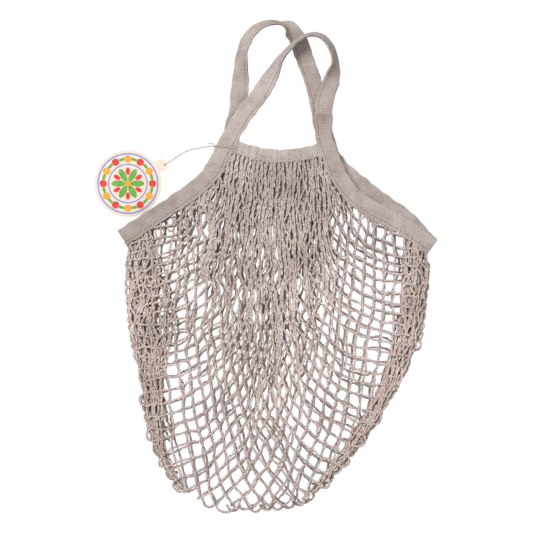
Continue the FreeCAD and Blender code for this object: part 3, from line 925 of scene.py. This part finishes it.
def string_turn():
    """Turn of the twine round the leg, with its knot and short loose ends."""
    box_low, box_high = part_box("string_loop")
    x0, x1 = box_low[0] / MM + 0.5, box_high[0] / MM - 0.5
    z0, z1 = box_low[2] / MM + 0.5, box_high[2] / MM - 0.5
    over_leg = [(x0, 120.3, z1 - 1.5), (x0 + 0.9, 120.5, z1 - 0.3), (x0 + 2.5, 120.7, z1), (-52, 119.8, z1),
                (x1 - 2.5, 119.2, z1), (x1 - 0.9, 119.3, z1 - 0.3), (x1, 119.6, z1 - 1.5)]
    under_leg = [(x1, 120, z0 + 1.5), (x1 - 0.9, 120.2, z0 + 0.3), (x1 - 2.5, 120.4, z0), (-52, 120.6, z0),
                 (x0 + 2.5, 119.8, z0), (x0 + 0.9, 119.6, z0 + 0.3), (x0, 119.6, z0 + 1.5),
                 (x0 - 0.1, 119.9, z0 + 3)]
    first = over_leg + under_leg
    second = [(x - 0.2, y - 1.4 if z > 12.5 else y - 0.6, z) for x, y, z in first]
    loose_end = [(-62.6, 120.4, 12.6), (-64, 121.6, 12.9), (-66.5, 122.6, 12.7), (-69.5, 122.2, 12.2)]
    knot = [(-62.6, 119.6, 12.6), (-64.2, 121.2, 13.2), (-65.2, 119.4, 13.1), (-63.6, 118.6, 12.6),
            (-62.7, 119.8, 13.0)]
    piece = threads("string_turn", [first, second, loose_end, knot], TURN_RADIUS, TWINE)
    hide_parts("string_loop")


# Card: its middle, and the heights of its print
CARD_X, CARD_Y = -151.0, 83.0
RING_HEIGHT = 0.63
OVAL_HEIGHT = 0.62
# Radii of its printed rings, and of the circles on which its dots, leaves and petals lie
OUTER_RING, INNER_RING = (29.2, 30.8), (18.6, 20.0)
DOTS_AT, LEAVES_AT, PETALS_AT = 24.8, 9.5, 12.5
# Turn from a dot to the small leaf beside it
LEAF_TURN = 0.262
# Places of the inks among the print's materials
BLUE, RED, ORANGE, GREEN = range(4)


def round_card(radius, angle):
    """Place on the card from its middle."""
    return CARD_X + radius * math.cos(angle), CARD_Y + radius * math.sin(angle)


def oval(bm, place, size, turn, ink, sides=28):
    """Flat printed oval on the card, turned in degrees."""
    (x, y), (breadth, length) = place, size
    c, s = math.cos(math.radians(turn)), math.sin(math.radians(turn))
    corners = []
    for k in range(sides):
        angle = 2 * math.pi * k / sides
        a, b = breadth / 2 * math.cos(angle), length / 2 * math.sin(angle)
        spot = Vector((x + a * c - b * s, y + a * s + b * c, OVAL_HEIGHT + 0.01 * ink))
        corners.append(bm.verts.new(spot * MM))
    bm.faces.new(corners).material_index = ink


def ring(bm, inner, outer, sides=72):
    """Flat printed ring round the card's middle."""
    rings = [[bm.verts.new(Vector((*round_card(radius, k * 2 * math.pi / sides), RING_HEIGHT)) * MM)
              for k in range(sides)] for radius in (inner, outer)]
    for k in range(sides):
        after = (k + 1) % sides
        face = bm.faces.new((rings[0][k], rings[1][k], rings[1][after], rings[0][after]))
        face.material_index = BLUE


def tag():
    """Round card with a plain printed pattern of rings, dots, leaves and petals."""
    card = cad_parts["swing_tag"]
    card.data.materials.clear()
    card.data.materials.append(CARD)
    inks = [printed_ink("blue_ink", "7590cf", "869fd8"), printed_ink("red_ink", "dd2a2c", "ea3c38"),
            printed_ink("orange_ink", "f39a1c", "fbab34"), printed_ink("green_ink", "5c9c34", "74b046")]
    bm = bmesh.new()
    ring(bm, *OUTER_RING)
    ring(bm, *INNER_RING)
    for k in range(12):
        angle = math.pi / 6 * k
        oval(bm, round_card(DOTS_AT, angle), (7.4, 7.4), 0, RED + k % 2)
        angle += LEAF_TURN
        oval(bm, round_card(DOTS_AT, angle), (3.0, 7.4), math.degrees(angle), GREEN)
    for k in range(6):
        angle = math.pi / 3 * k
        oval(bm, round_card(LEAVES_AT, angle), (14.0, 6.4), math.degrees(angle), GREEN)
        angle += math.pi / 6
        oval(bm, round_card(PETALS_AT, angle), (7.6, 4.4), math.degrees(angle), RED)
    oval(bm, (CARD_X, CARD_Y), (7.6, 7.6), 0, ORANGE)
    bmesh.ops.recalc_face_normals(bm, faces=bm.faces)
    for face in bm.faces:
        if face.normal.z < 0:
            face.normal_flip()
    mesh = bpy.data.meshes.new("tag_print")
    bm.to_mesh(mesh)
    bm.free()
    show("tag_print", mesh, inks, "tag")


def camera():
    """Camera straight above the middle of the bag."""
    data = bpy.data.cameras.new("camera")
    eye = bpy.data.objects.new("camera", data)
    bpy.context.scene.collection.objects.link(eye)
    height, level, breadth = 1.5, 0.010, 0.535
    eye.location = (-0.0105, -0.0015, height)
    data.lens = data.sensor_width * (height - level) / breadth
    bpy.context.scene.camera = eye


def sweep():
    """White ground, seen pure white, which throws back a little warm light."""
    bm = bmesh.new()
    bmesh.ops.create_grid(bm, x_segments=1, y_segments=1, size=3.0)
    mesh = bpy.data.meshes.new("floor")
    bm.to_mesh(mesh)
    bm.free()
    made, tree, shader = material("white_sweep")
    tree.nodes.remove(shader)
    rays = add(tree, "LightPath")
    paper = add(tree, "BsdfDiffuse", {"Color": linear("8e7c72")})
    white = add(tree, "Emission", {"Color": (1, 1, 1, 1), "Strength": 1.0})
    clear = add(tree, "Math", {0: rays.outputs["Is Camera Ray"], 1: rays.outputs["Is Glossy Ray"]},
                operation="MAXIMUM")
    seen = add(tree, "Math", {0: clear.outputs[0], 1: rays.outputs["Is Transmission Ray"]},
               operation="MAXIMUM")
    mix = add(tree, "MixShader", {0: seen.outputs[0], 1: paper.outputs[0], 2: white.outputs[0]})
    tree.links.new(mix.outputs[0], tree.nodes["Material Output"].inputs["Surface"])
    floor = show("floor", mesh, [made])
    floor.data.transform(Matrix.Translation((0, 0, GROUND_LEVEL)))


def lights():
    """Soft key from above and behind, a wide weak fill, and even light all round."""
    bpy.context.scene.view_settings.view_transform = "Standard"
    world = bpy.data.worlds.new("studio")
    bpy.context.scene.world = world
    world.use_nodes = True
    sky = world.node_tree.nodes["Background"].inputs
    sky["Color"].default_value = (1, 1, 1, 1)
    sky["Strength"].default_value = 0.37
    for name, place, size, power in (("key", (-0.6, 0.8, 1.2), 0.7, 20.0),
                                     ("fill", (0.9, -0.5, 1.3), 1.2, 5.6)):
        data = bpy.data.lights.new(name, "AREA")
        data.size = size
        data.energy = power
        lamp = bpy.data.objects.new(name, data)
        bpy.context.scene.collection.objects.link(lamp)
        lamp.location = place
        lamp.rotation_euler = (-Vector(place)).to_track_quat("-Z", "Y").to_euler()


camera()
COTTON, TAPE, SEAM, TWINE, CARD = net_cotton(), tape_cotton(), seam_thread(), twine(), tag_card()
tag_string()
string_turn()
hem_closings = net_layers()
slack_folds()
hem_loops(hem_closings)
side_gathers()
edge_loops()
handle_tapes()
bands()
corner_tacks()
tag()
sweep()
lights()
